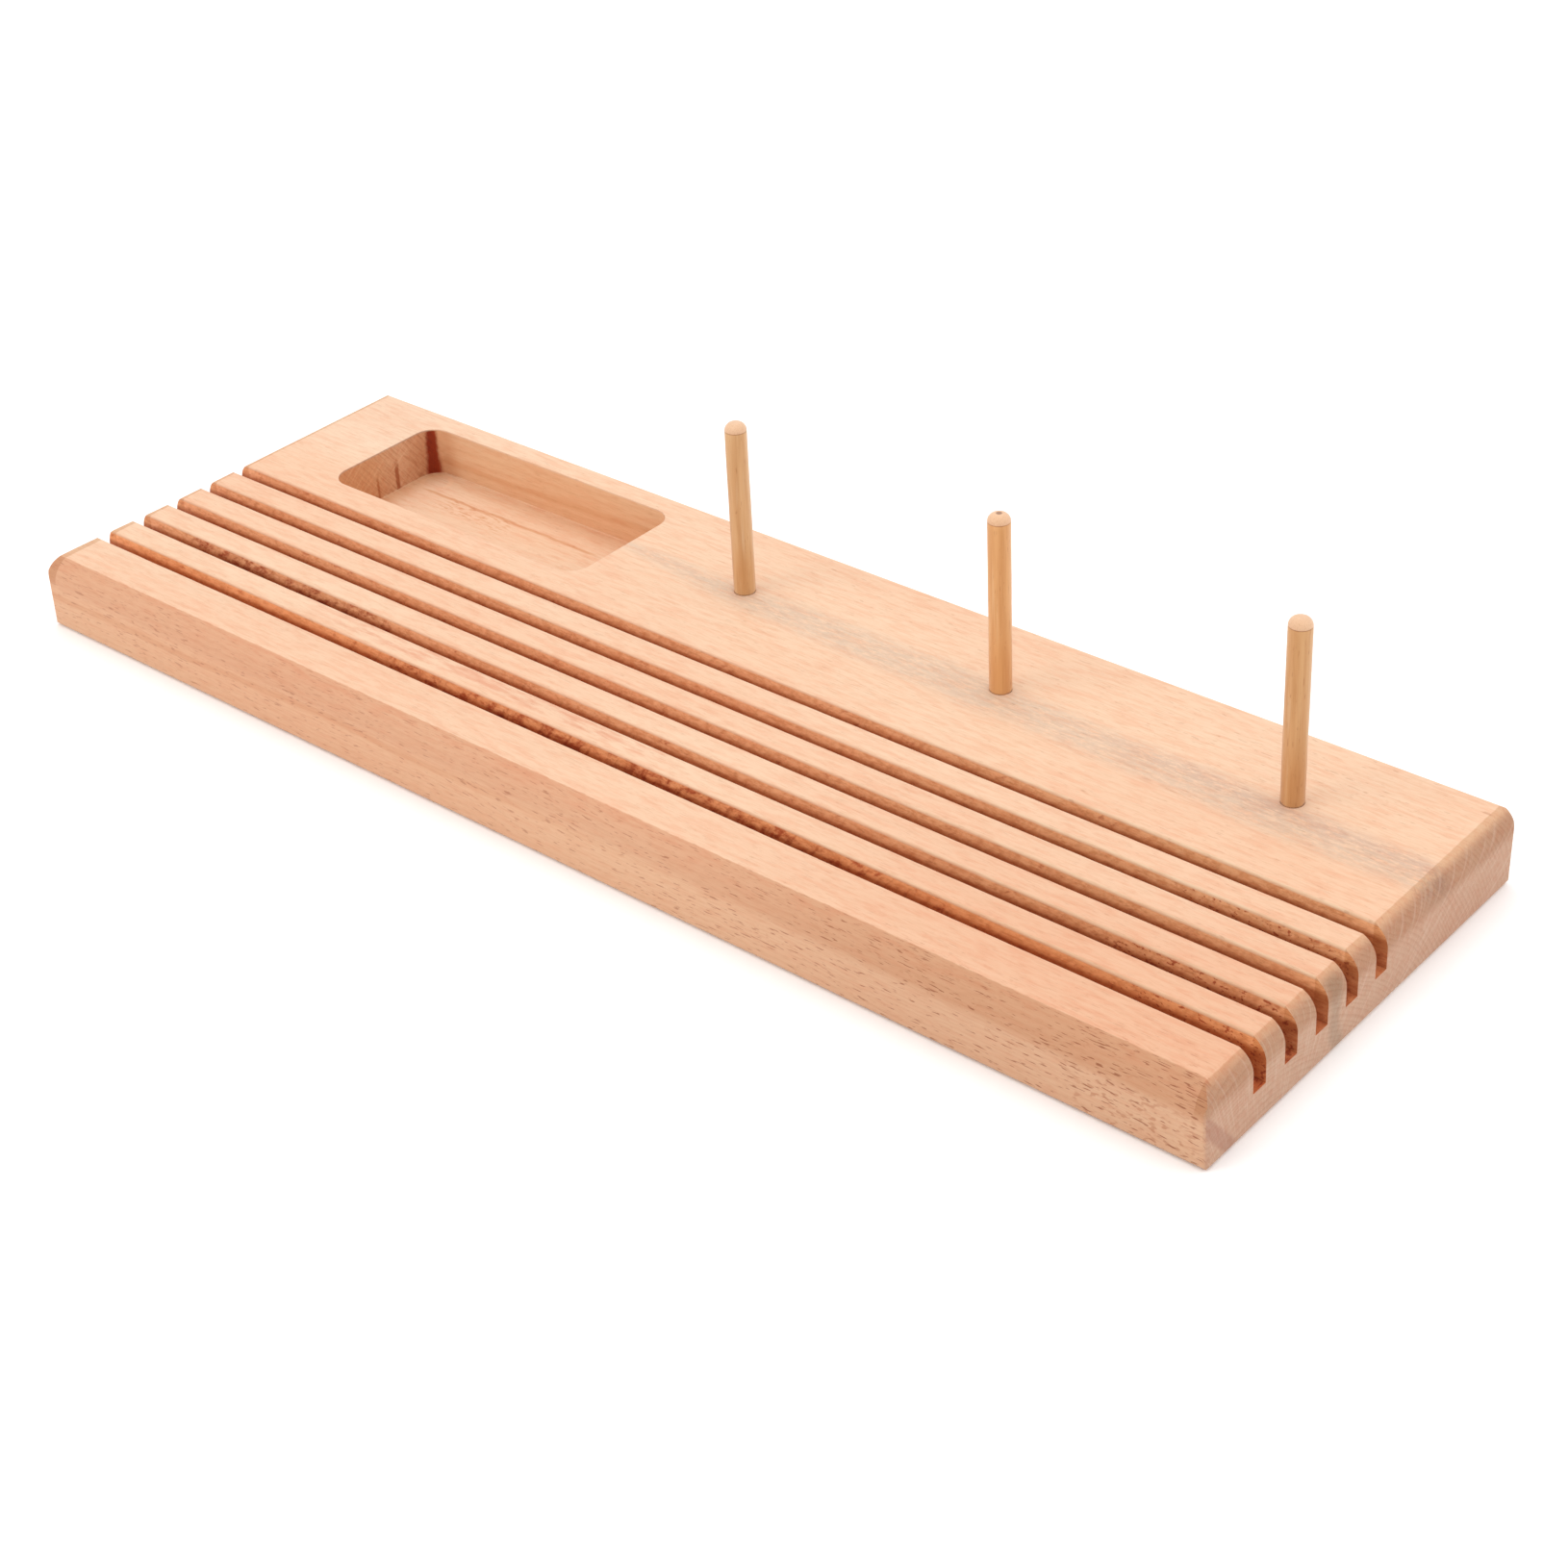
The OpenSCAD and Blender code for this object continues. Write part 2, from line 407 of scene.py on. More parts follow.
class Graph:
    """A material's shader nodes, behind short names."""

    def __init__(self, name):
        self.material = bpy.data.materials.new(name)
        self.material.use_nodes = True
        self.tree = self.material.node_tree
        self.tree.nodes.clear()

    def node(self, kind, **settings):
        """A new shader node of one kind, with its settings."""
        node = self.tree.nodes.new("ShaderNode" + kind)
        for key, value in settings.items():
            setattr(node, key, value)
        return node

    def put(self, socket, value):
        """Links a socket to a value or to another socket, or sets it to a number or a colour."""
        if isinstance(value, Value):
            value = value.socket
        if isinstance(value, bpy.types.NodeSocket):
            self.tree.links.new(value, socket)
        elif socket.type == "RGBA":
            socket.default_value = (*value, 1)
        else:
            socket.default_value = value

    def math(self, operation, *terms):
        """One step of arithmetic."""
        node = self.node("Math", operation=operation)
        for socket, term in zip(node.inputs, terms):
            self.put(socket, term)
        return Value(self, node.outputs[0])

    def ramp(self, value, low, high):
        """0 at low, 1 at high, and smooth between."""
        node = self.node("MapRange", interpolation_type="SMOOTHSTEP")
        for socket, term in zip(node.inputs, (value, low, high)):
            self.put(socket, term)
        return Value(self, node.outputs[0])

    def band(self, value, centre, half_width, feather):
        """1 within half_width of centre, falling to 0 over feather."""
        return self.ramp(abs(value - centre), half_width + feather, half_width)

    def span(self, value, low, high, feather):
        """1 between low and high, falling to 0 over feather on either side."""
        return self.ramp(value, low - feather, low) * self.ramp(value, high + feather, high)

    def vector(self, x, y, z):
        """Three numbers as one vector."""
        node = self.node("CombineXYZ")
        for socket, term in zip(node.inputs, (x, y, z)):
            self.put(socket, term)
        return node.outputs[0]

    def split(self, vector):
        """One vector as three numbers."""
        node = self.node("SeparateXYZ")
        self.put(node.inputs[0], vector)
        return [Value(self, socket) for socket in node.outputs]

    def length(self, across, along):
        """How far a place lies from the point where both numbers are 0."""
        return self.math("SQRT", across * across + along * along)

    def millimetres(self):
        """The place on the piece, as x, y and z in millimetres."""
        scaled = self.node("VectorMath", operation="SCALE")
        self.put(scaled.inputs[0], self.node("TexCoord").outputs["Object"])
        self.put(scaled.inputs["Scale"], 1 / MM)
        return self.split(scaled.outputs[0])

    def noise(self, x, y, z, detail=2.0, roughness=0.5):
        """Cloudy noise, mostly between 0.3 and 0.7."""
        node = self.node("TexNoise")
        self.put(node.inputs["Vector"], self.vector(x, y, z))
        self.put(node.inputs["Scale"], 1.0)
        self.put(node.inputs["Detail"], detail)
        self.put(node.inputs["Roughness"], roughness)
        return Value(self, node.outputs["Fac"])

    def mix(self, factor, a, b, blend="MIX"):
        """The first colour where factor is 0, and the second, blended in, where it is 1."""
        node = self.node("Mix", data_type="RGBA", blend_type=blend)
        self.put(node.inputs[0], factor)
        self.put(node.inputs[6], a)
        self.put(node.inputs[7], b)
        return node.outputs[2]

    def tint(self, color, by, factor):
        """The colour, multiplied by another as far as factor says."""
        return self.mix(factor, color, by, "MULTIPLY")

    def finish(self, color, roughness, height, bump_distance, specular, sheen=0.0):
        """The material, from its colour, roughness, relief and gloss."""
        bump = self.node("Bump")
        self.put(bump.inputs["Distance"], bump_distance)
        self.put(bump.inputs["Height"], height)
        shader = self.node("BsdfPrincipled")
        self.put(shader.inputs["Base Color"], color)
        self.put(shader.inputs["Roughness"], roughness)
        self.put(shader.inputs["Specular IOR Level"], specular)
        self.put(shader.inputs["Sheen Weight"], sheen)
        self.put(shader.inputs["Sheen Roughness"], SHEEN_ROUGHNESS)
        self.put(shader.inputs["Normal"], bump.outputs[0])
        output = self.node("OutputMaterial")
        self.put(output.inputs["Surface"], shader.outputs[0])
        return self.material


# ---------------------------------------------------------------- beech

# The tree's heart lay below the board's front, so its rings arch over that line (mm)
PITH_Y = -47.0
PITH_Z = -49.0
RING_SPACING = 1.35

# The board's and the tray's edges, in the millimetres that the shaders work in
TOP_MM = TOP / MM
FRONT_MM = FRONT / MM
END_MM = HALF_LENGTH / MM
TRAY_LEFT, TRAY_NEAR = TRAY_LOW.x / MM, TRAY_LOW.y / MM
TRAY_RIGHT, TRAY_FAR = TRAY_HIGH.x / MM, TRAY_HIGH.y / MM

# Lines in the plank: a reddish one on the front, the grey streak, and two on the sawn end (mm)
FRONT_LINE_Z = 12.5
FRONT_LINE_SLOPE = 0.012
STREAK_Y = 36.2
STREAK_SLOPE = 0.032
STREAK_START = -84.0
WEDGE_Z = 13.5
WEDGE_SLOPE = 1.19
PATCH_Y = -14.5

# How far in from the tray's far wall its marks lie (mm)
SCORCH_INSET = 16.4
FAINT_SCORCH_INSET = 24.5
VEIN_INSET = 11.5

# The plank's two base colours. The others multiply what lies under them, except END_RAY, which
# is mixed in
PEACH = (0.722, 0.460, 0.304)
STRAW = (0.735, 0.505, 0.345)

PINK = (0.97, 0.86, 0.82)
LATE_WOOD = (0.93, 0.89, 0.86)
DARK_FIBRE = (0.93, 0.885, 0.85)
REDDISH_LINE = (0.93, 0.85, 0.79)
FLECK = (0.50, 0.30, 0.21)
RAY = (0.80, 0.62, 0.52)
CORNER_SPOT = (0.76, 0.60, 0.52)
RIGHT_FRONT = (0.93, 0.79, 0.73)
RIGHT_ROUND_OVER = (0.92, 1.01, 1.00)
LOW_RIGHT_FRONT = (0.99, 0.90, 0.915)
BACK_LEFT = (1.0, 1.06, 1.11)
BLUSH = (0.93, 0.80, 0.77)
MINERAL = (0.82, 0.87, 0.93)
STREAK_CORE = (0.90, 0.84, 0.86)

# The next three are painted shade: they darken the front face, the front round-over and the end
# round-overs, which turn away from the light
FRONT_SIDE_SHADE = (0.88, 0.77, 0.69)
FRONT_ROUND_OVER_SHADE = (0.92, 0.86, 0.84)
END_ROUND_OVER_SHADE = (0.80, 0.70, 0.59)
END_GRAIN = (0.67, 0.60, 0.60)
END_RING = (0.86, 0.80, 0.76)
END_PORE = (0.84, 0.80, 0.77)
END_RAY = (0.85, 0.72, 0.62)
HEARTWOOD = (0.76, 0.64, 0.64)
GREY_PATCH = (0.72, 0.78, 0.78)

GROOVE_LIP = (0.93, 0.84, 0.79)
# Partly the walls' own warmer wood, partly painted bounce light, which lightens and warms them
GROOVE_TONE_AND_BOUNCE_LIGHT = (1.30, 1.05, 0.82)
# Painted shade, deeper down in the grooves
GROOVE_DEPTH_SHADE = (0.58, 0.38, 0.27)
GROOVE_MOTTLE = (0.80, 0.67, 0.58)
FIRST_GROOVE = (1.06, 0.98, 0.86)
SAW_SCORE = (0.66, 0.46, 0.38)
BURN = (0.43, 0.085, 0.01)

TRAY_WALL = (1.02, 0.93, 0.80)
TRAY_FLOOR = (1.04, 1.04, 1.03)
WALL_RIDGE = (0.76, 0.62, 0.53)
LEFT_WALL = (1.22, 1.20, 1.14)
WALL_STAIN = (0.93, 0.80, 0.64)
SCORCH = (0.55, 0.30, 0.19)
FAINT_SCORCH = (0.70, 0.48, 0.33)
BROWNED_WALL = (0.80, 0.58, 0.44)
CUTTER_MARK = (1.07, 1.06, 1.04)
FLOOR_LEFT = (0.86, 0.72, 0.56)
FLOOR_BACK = (0.90, 0.80, 0.70)
FLOOR_VEIN = (0.86, 0.70, 0.58)
FLOOR_SPECK = (0.86, 0.68, 0.56)

BUMP_HEIGHT = 0.06 * MM
BOARD_GLOSS = 0.32


class Beech(Graph):
    """Beech in the round: growth rings, rays that point to the pith, and fibres along X."""

    def __init__(self, name):
        super().__init__(name)
        self.x, self.y, self.z = self.millimetres()
        self.nx, self.ny, self.nz = self.split(self.node("TexCoord").outputs["Normal"])
        sway = self.noise(self.x / 90, self.y / 40, self.z / 40, detail=1.0) - 0.5
        drift = self.noise(self.x / 25, self.y / 9, self.z / 9) - 0.5
        across = self.y - PITH_Y + sway * 4 + drift * 0.8
        up = self.z - PITH_Z + sway * 3 + drift * 0.6
        self.radius = self.length(across, up)
        self.turn = self.math("ARCTAN2", across, up) * 70
        self.end = self.ramp(abs(self.nx), 0.45, 0.85)
        self.long_grain = 1 - self.end
        self.front_face = self.ramp(self.ny, -0.5, -0.9)
        self.depth = TOP_MM - self.z

    def rings(self):
        """Late wood: a line at the outside of each growth ring."""
        uneven = self.noise(self.radius / 9, 0.0, 0.0, detail=1.0) * 4
        phase = self.math("FRACT", self.radius / RING_SPACING + uneven)
        return self.ramp(phase, 0.35, 0.92) * self.ramp(phase, 1.0, 0.93)

    def rays(self, length, thickness, depth, low, high, crowding):
        """Rays cut across: dashes where the cut follows a ring, patches where it crosses one."""
        spots = self.noise(self.x / length, self.turn / thickness, self.radius / depth, detail=1.0)
        return self.ramp(spots + crowding, low, high)


def tint_fibres(g, color):
    """Soft bands, late wood, fibres and a reddish line. Returns (colour, soft, fine)."""
    x, y, z = g.x, g.y, g.z
    soft = g.noise(x / 9, y / 1.6, z / 1.6, detail=3.0, roughness=0.65)
    fine = g.noise(x / 4, y / 0.35, z / 0.35)
    color = g.tint(color, PINK, g.ramp(soft, 0.40, 0.70) * (1 - g.front_face * 0.4))
    color = g.tint(color, LATE_WOOD, g.rings() * (0.22 + g.front_face * 0.25))
    color = g.tint(color, DARK_FIBRE, g.ramp(fine, 0.45, 0.75) * 0.9)
    wander = (g.noise(x / 60, 1.0, 5.0) - 0.5) * 6
    line = g.band(z - FRONT_LINE_Z - x * FRONT_LINE_SLOPE + wander, 0.0, 0.4, 1.3)
    color = g.tint(color, REDDISH_LINE, line * g.front_face * g.ramp(x, 60.0, -60.0))
    return color, soft, fine


def tint_rays(g, color):
    """Rays, crowded right and along the front, and corner spots. Returns (colour, dashes)."""
    x, y, z = g.x, g.y, g.z
    crowd = (g.noise(x / 40, y / 14, z / 14, detail=1.0) - 0.5) * 0.14
    right = g.ramp(x, -150.0, END_MM)
    front_right = g.ramp(x, -20.0, 150.0) * g.ramp(y, FRONT_MM + 14, FRONT_MM + 3)
    edge = g.ramp(y, FRONT_MM + 6, FRONT_MM + 4)
    dashes = g.rays(3.4, 0.24, 3.0, 0.67, 0.76, crowd + edge * 0.045)
    strength = 0.18 + right * 0.12 + edge * 0.3 + front_right * 0.25
    color = g.tint(color, FLECK, dashes * g.long_grain * strength)
    patches = g.rays(2.4, 0.9, 2.6, 0.70, 0.78, crowd + right * 0.04)
    color = g.tint(color, RAY, patches * g.long_grain * (0.12 + front_right * 0.2))
    spots = g.noise(x / 2.6, y / 1.2, z / 1.2, detail=1.0)
    corner = g.span(x, END_MM - 32, END_MM - 6, 8.0) * g.ramp(z, 15.0, 11.0) * g.front_face
    color = g.tint(color, CORNER_SPOT, g.ramp(spots, 0.56, 0.64) * corner * 0.8)
    return color, dashes


def tint_regions(g, color, soft):
    """The plank changes tone from left to right and from front to back."""
    x, y, z = g.x, g.y, g.z
    toward_right = g.ramp(x, 10.0, 150.0)
    toward_front = g.ramp(y, 10.0, -40.0)
    turned_forward = g.ramp(g.ny, -0.1, -0.4)
    low_front = g.front_face * g.ramp(z, TOP_MM - 6, TOP_MM - 9)
    upper = g.long_grain * (1 - low_front)
    color = g.tint(color, RIGHT_FRONT, toward_right * toward_front * upper)
    color = g.tint(color, RIGHT_ROUND_OVER, toward_right * turned_forward * g.long_grain)
    color = g.tint(color, LOW_RIGHT_FRONT, toward_right * low_front)
    color = g.tint(color, BACK_LEFT, g.ramp(x, -110.0, -180.0) * g.ramp(y, 15.0, 45.0))
    blush = g.span(y, FRONT_MM + 27, FRONT_MM + 30, 2.0) * g.span(x, -90.0, 0.0, 30.0)
    blush = blush * g.ramp(soft, 0.35, 0.65) * g.ramp(z, TOP_MM - 1.0, TOP_MM - 0.3)
    return g.tint(color, BLUSH, blush)


def tint_streak(g, color):
    """A grey mineral streak that runs past the pegs and over the right-hand end."""
    x, y, z = g.x, g.y, g.z
    wander = (g.noise(x / 35, y / 30, 2.0) - 0.5) * 6
    line = y - STREAK_Y + x * STREAK_SLOPE + wander
    half_width = g.ramp(x, -80.0, 20.0) * 4.4 + 1.4
    streak = g.ramp(abs(line) - half_width, 3.6, -3.0) * g.ramp(z, TOP_MM - 9, TOP_MM - 1)
    streak = streak * g.ramp(x, STREAK_START, STREAK_START + 18)
    mottle = g.noise(x / 3, y / 0.9, z / 0.9, detail=4.0, roughness=0.75)
    streak = streak * g.ramp(mottle, 0.28, 0.62)
    color = g.tint(color, MINERAL, streak)
    core = g.ramp(x, 90.0, 130.0) * g.ramp(line, -2.0, 3.0)
    return g.tint(color, STREAK_CORE, streak * core * 0.7)


def paint_front_and_round_over_shade(g, color):
    """Painted shade: the front face and the sanded round-overs are darkened where they turn away
    from the light.
    """
    x, y, z = g.x, g.y, g.z
    ragged = (g.noise(x / 2, y / 2, z / 2, detail=3.0) - 0.5) * 0.5
    crease = FRONT_MM + (FRONT_RADIUS - math.sqrt(FRONT_RADIUS ** 2 - FRONT_DROP ** 2)) / MM
    band = g.ramp(y + ragged, crease + 0.1, crease - 0.25) * g.long_grain
    # Painted shade on the front face and its round-over, which turn away from the light
    color = g.tint(color, FRONT_SIDE_SHADE, band)
    # Deeper painted shade on the front round-over
    color = g.tint(color, FRONT_ROUND_OVER_SHADE, band * g.ramp(z, TOP_MM - 10, TOP_MM - 5))
    crease = END_MM - END_CREASE / MM
    band = g.ramp(abs(x) + ragged, crease - 0.1, crease + 0.3)
    band = band * g.ramp(z, TOP_MM - 8.5, TOP_MM - 4.5)
    # Painted shade on the end round-overs, which turn away from the light
    return g.tint(color, END_ROUND_OVER_SHADE, band * 0.85)


def tint_ends(g, color):
    """Pores, rays, heartwood and a grey patch on the sawn ends. Returns (colour, pores)."""
    x, y, z = g.x, g.y, g.z
    pores = g.ramp(g.noise(x / 8, y / 0.22, z / 0.22, detail=1.0), 0.5, 0.75)
    ray_lines = g.noise(x / 30, g.turn / 0.5, g.radius / 14, detail=1.0)
    cloud = g.noise(x / 9, y / 9, z / 9)
    color = g.tint(color, END_GRAIN, g.end * 0.9)
    color = g.tint(color, END_RING, g.end * g.rings() * g.ramp(cloud, 0.25, 0.65) * 0.6)
    color = g.tint(color, END_PORE, g.end * pores * 0.5)
    color = g.mix(g.end * g.ramp(ray_lines, 0.52, 0.72) * 0.10, color, END_RAY)
    wedge_line = z - WEDGE_Z + (y - FRONT_MM) * WEDGE_SLOPE
    wedge = g.span(wedge_line, -3.0, 1.0, 2.0) * g.ramp(y, FRONT_MM + 14, FRONT_MM + 10)
    color = g.tint(color, HEARTWOOD, g.end * wedge * 0.7)
    patch = g.band(y - PATCH_Y + (cloud - 0.5) * 8, 0.0, 1.0, 3.2)
    color = g.tint(color, GREY_PATCH, g.end * patch * 0.75)
    return color, pores * g.end


def in_groove(g, number):
    """1 in one groove, counted from the front."""
    middle = (GROOVE_FRONTS[number - 1] + GROOVE_WIDTH / 2) / MM
    return g.band(g.y, middle, GROOVE_WIDTH / 2 / MM + 0.3, 0.3)


def tint_grooves(g, color):
    """Groove walls, browned and scored by the saw, with painted bounce light on them and painted
    shade deeper down. Returns (colour, inside, scores).
    """
    x, y, depth = g.x, g.y, g.depth
    first = GROOVE_FRONTS[0] / MM
    last = (GROOVE_FRONTS[-1] + GROOVE_WIDTH) / MM
    along = g.ramp(abs(g.nx), 0.3, 0.1)
    inside = g.ramp(depth, 0.45, 0.9) * g.span(y, first - 0.6, last + 0.6, 0.3) * along
    lip = g.ramp(depth, 0.05, 0.5) * g.ramp(depth, 1.1, 0.7)
    lip = lip * g.span(y, first - 0.2, last + 1.0, 0.2)
    color = g.tint(color, GROOVE_LIP, lip * along)
    # Painted bounce light lightens and warms the walls over their own tone; painted shade then
    # darkens them deeper down
    color = g.tint(color, GROOVE_TONE_AND_BOUNCE_LIGHT, inside)
    color = g.tint(color, GROOVE_DEPTH_SHADE, inside * g.ramp(depth, 2.4, 4.2))
    mottled = g.noise(x / 2.6, y / 3, g.z / 1.1, detail=4.0, roughness=0.7)
    color = g.tint(color, GROOVE_MOTTLE, inside * g.ramp(mottled, 0.38, 0.68))
    groove_1, groove_2, groove_4 = [in_groove(g, number) for number in (1, 2, 4)]
    color = g.tint(color, FIRST_GROOVE, inside * groove_1)

    # The saw's sweeping scores and charred patches, roughest in the first two grooves
    sweep = x + depth * 0.7 + g.noise(x / 6, y / 3, g.z / 6) * 3
    scores = g.noise(sweep / 1.9, y / 4, depth / 12, detail=2.5)
    rough = groove_1 * g.span(x, -60.0, 60.0, 60.0) + groove_2 * g.span(x, -165.0, -105.0, 20.0)
    color = g.tint(color, SAW_SCORE, inside * g.ramp(scores, 0.52, 0.70) * (0.22 + rough * 0.6))
    char = g.noise(sweep / 4, y / 5, depth / 3.2, detail=3.0, roughness=0.65)
    color = g.tint(color, BURN, inside * g.ramp(char + rough * 0.16, 0.58, 0.82) * 0.75)

    # Chips, most of them towards the right-hand end
    chips = g.noise(x / 1.3, y / 3, g.z / 0.9)
    chipped = groove_1 * g.ramp(x, 150.0, 172.0) + groove_2 * g.ramp(x, 140.0, 156.0)
    chipped = chipped + groove_4 * g.span(x, 155.0, 195.0, 8.0) + rough * 0.2
    color = g.tint(color, BURN, inside * g.ramp(chips, 0.57, 0.67) * chipped * 0.75)
    return color, inside, scores


def tint_left_wall(g, color, wall):
    """The tray's left wall is end grain: slanting ridges, a stain and two scorched lines."""
    x, y, z, depth = g.x, g.y, g.z, g.depth
    left_wall = wall * g.ramp(abs(g.nx), 0.5, 0.9) * g.ramp(x, TRAY_LEFT + 20, TRAY_LEFT + 10)
    ridges = g.noise((y + z * 0.8) / 0.62, x / 3, (z - y) / 9)
    ridged = g.ramp(y, TRAY_FAR - 34, TRAY_FAR - 18) * 0.5 + 0.1
    color = g.tint(color, WALL_RIDGE, left_wall * g.ramp(ridges, 0.47, 0.66) * ridged)
    color = g.tint(color, LEFT_WALL, left_wall)
    stain = g.ramp(y, TRAY_FAR - 14, TRAY_FAR - 30)
    color = g.tint(color, WALL_STAIN, left_wall * stain * 0.8)
    lean = (g.noise(0.0, 3.0, z / 3) - 0.5) * 1.6
    line = g.band(y - (TRAY_FAR - SCORCH_INSET) + lean, 0.0, 0.4, 0.7) * g.ramp(depth, 4.0, 9.0)
    color = g.tint(color, SCORCH, left_wall * line * 0.9)
    faint = g.band(y - (TRAY_FAR - FAINT_SCORCH_INSET) + lean * 1.5, 0.0, 0.2, 0.5)
    color = g.tint(color, FAINT_SCORCH, left_wall * faint * g.ramp(depth, 6.0, 10.0) * 0.8)
    return color, ridges


def tint_burnt_corner(g, color, wall, floor):
    """The cutter dwelt in the back left corner, burnt its wall and marked the floor."""
    x, y, z, depth = g.x, g.y, g.z, g.depth
    toward_left = TRAY_LEFT + TRAY_RADIUS / MM - x
    toward_back = y - (TRAY_FAR - TRAY_RADIUS / MM)
    flame = g.noise(x / 2, y / 2, z / 4, detail=3.0) - 0.5
    off_axis = abs(toward_back - toward_left * 0.86) + flame * 2.6
    burn = g.ramp(off_axis, 2.6 + depth * 0.11, 1.0 + depth * 0.06)
    corner = g.ramp(toward_left, 0.0, 1.0) * g.ramp(toward_back, 0.0, 1.0)
    browned = g.ramp(x, TRAY_LEFT + 13, TRAY_LEFT + 6) * g.ramp(toward_back, -8.0, 2.0)
    color = g.tint(color, BROWNED_WALL, wall * browned * 0.5)
    color = g.tint(color, BURN, wall * burn * corner)
    mark = g.band(g.length(toward_left, toward_back), 4.6, 0.5, 0.7)
    return g.tint(color, CUTTER_MARK, floor * mark * g.ramp(toward_back, -5.5, -1.0) * 0.8)


def tint_tray_floor(g, color, floor):
    """The tray's floor, browner by its left and back walls, with a vein and a few specks."""
    x, y = g.x, g.y
    color = g.tint(color, FLOOR_LEFT, floor * g.ramp(x, TRAY_LEFT + 9, TRAY_LEFT + 0.5) * 0.8)
    color = g.tint(color, FLOOR_BACK, floor * g.ramp(y, TRAY_FAR - 9, TRAY_FAR - 1) * 0.7)
    wobble = (g.noise(x / 9, 4.0, 4.0) - 0.5) * 1.6
    vein = g.band(y - (TRAY_FAR - VEIN_INSET) + wobble, 0.0, 0.25, 0.6)
    vein = vein * g.span(x, TRAY_LEFT + 10, TRAY_RIGHT - 26, 6.0)
    color = g.tint(color, FLOOR_VEIN, floor * vein)
    specks = g.noise(x / 3.4, y / 0.8, 6.0, detail=3.0)
    cluster = g.span(x, TRAY_LEFT + 22, TRAY_LEFT + 42, 7.0)
    cluster = cluster * g.span(y, TRAY_FAR - 17, TRAY_FAR - 12, 3.0)
    return g.tint(color, FLOOR_SPECK, floor * g.ramp(specks, 0.48, 0.66) * cluster)


def tint_tray(g, color):
    """The tray's walls and floor, with their marks and burns. Returns (colour, wall, ridges)."""
    hollow = g.ramp(g.depth, 0.3, 0.7) * g.span(g.x, TRAY_LEFT - 0.2, TRAY_RIGHT + 0.2, 0.3)
    hollow = hollow * g.span(g.y, TRAY_NEAR - 0.2, TRAY_FAR + 0.2, 0.3)
    wall = hollow * g.ramp(abs(g.nz), 0.6, 0.3)
    floor = hollow * g.ramp(g.nz, 0.6, 0.9)
    color = g.tint(color, TRAY_WALL, wall)
    color = g.tint(color, TRAY_FLOOR, floor)
    color, ridges = tint_left_wall(g, color, wall)
    color = tint_burnt_corner(g, color, wall, floor)
    color = tint_tray_floor(g, color, floor)
    return color, wall, ridges


def board_wood():
    """The board's beech."""
    g = Beech("beech_board")
    broad = g.noise(g.x / 160, g.y / 30, g.z / 30)
    color = g.mix(g.ramp(broad, 0.3, 0.7), PEACH, STRAW)
    color, soft, fine = tint_fibres(g, color)
    color, dashes = tint_rays(g, color)
    color = tint_regions(g, color, soft)
    color = tint_streak(g, color)
    color = paint_front_and_round_over_shade(g, color)
    color, pores = tint_ends(g, color)
    color, inside, scores = tint_grooves(g, color)
    color, wall, ridges = tint_tray(g, color)
    roughness = 0.56 + (fine - 0.5) * 0.16 + inside * 0.12 + g.end * 0.10
    height = (fine - 0.5) * 0.5 - dashes * 0.4 - pores * 0.5
    height = height + inside * (scores - 0.5) * 2.0 + wall * (ridges - 0.5) * 1.2
    return g.finish(color, roughness, height, BUMP_HEIGHT, BOARD_GLOSS)


# ---------------------------------------------------------------- peg wood

PEG_DARK = (0.60, 0.32, 0.135)
PEG_LIGHT = (0.68, 0.40, 0.19)
PEG_PALE = (0.72, 0.50, 0.30)
PEG_END_GRAIN = (0.70, 0.45, 0.29)

# These multiply what lies under them
PEG_FIBRE = (0.84, 0.76, 0.66)
PEG_FLECK = (0.60, 0.44, 0.33)
PEG_FOOT = (0.93, 0.82, 0.68)
# Painted shade: a dark line along the crisp edge under each tip
TIP_EDGE_SHADE = (0.50, 0.34, 0.22)
TIP_PORE = (0.72, 0.62, 0.52)
TIP_SPOT = (0.42, 0.32, 0.27)
# Each peg was cut from a different dowel
DOWEL_TINTS = [(0.94, 0.98, 1.01), (1.03, 0.96, 0.84), (0.90, 0.875, 0.82)]

PEG_BUMP_HEIGHT = 0.04 * MM
PEG_GLOSS = 0.15
PEG_SHEEN = 0.25


def tint_dowels(g, color, x, z):
    """Each dowel's own tone, and a browner foot on all three."""
    for node, tone in zip(PEG_NODES, DOWEL_TINTS):
        color = g.tint(color, tone, g.band(x, peg_axis(node)[0] / MM, 5.0, 1.0))
    return g.tint(color, PEG_FOOT, g.ramp(z, TOP_MM + 20, TOP_MM + 6) * 0.8)


def tint_tips(g, color, x, y, z):
    """Paler tips over a line of painted shade, and the middle one's spot. Returns (colour, tip)."""
    tip_height = (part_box(PEG_NODES[0])[1].z - TIP_RADIUS) / MM
    tip = g.ramp(z, tip_height - 0.02, tip_height + 0.12)
    color = g.mix(tip * 0.8, color, PEG_END_GRAIN)
    # Painted shade along the crisp edge under the tip
    color = g.tint(color, TIP_EDGE_SHADE, g.band(z, tip_height, 0.06, 0.14) * 0.7)
    pores = g.ramp(g.noise(x / 0.2, y / 0.2, z / 3, detail=1.0), 0.5, 0.75)
    color = g.tint(color, TIP_PORE, tip * pores * 0.5)
    centre_x, centre_y = peg_axis(PEG_NODES[1])
    from_axis = g.length(x - centre_x / MM, y - centre_y / MM)
    return g.tint(color, TIP_SPOT, g.ramp(from_axis, 1.0, 0.6) * tip), tip


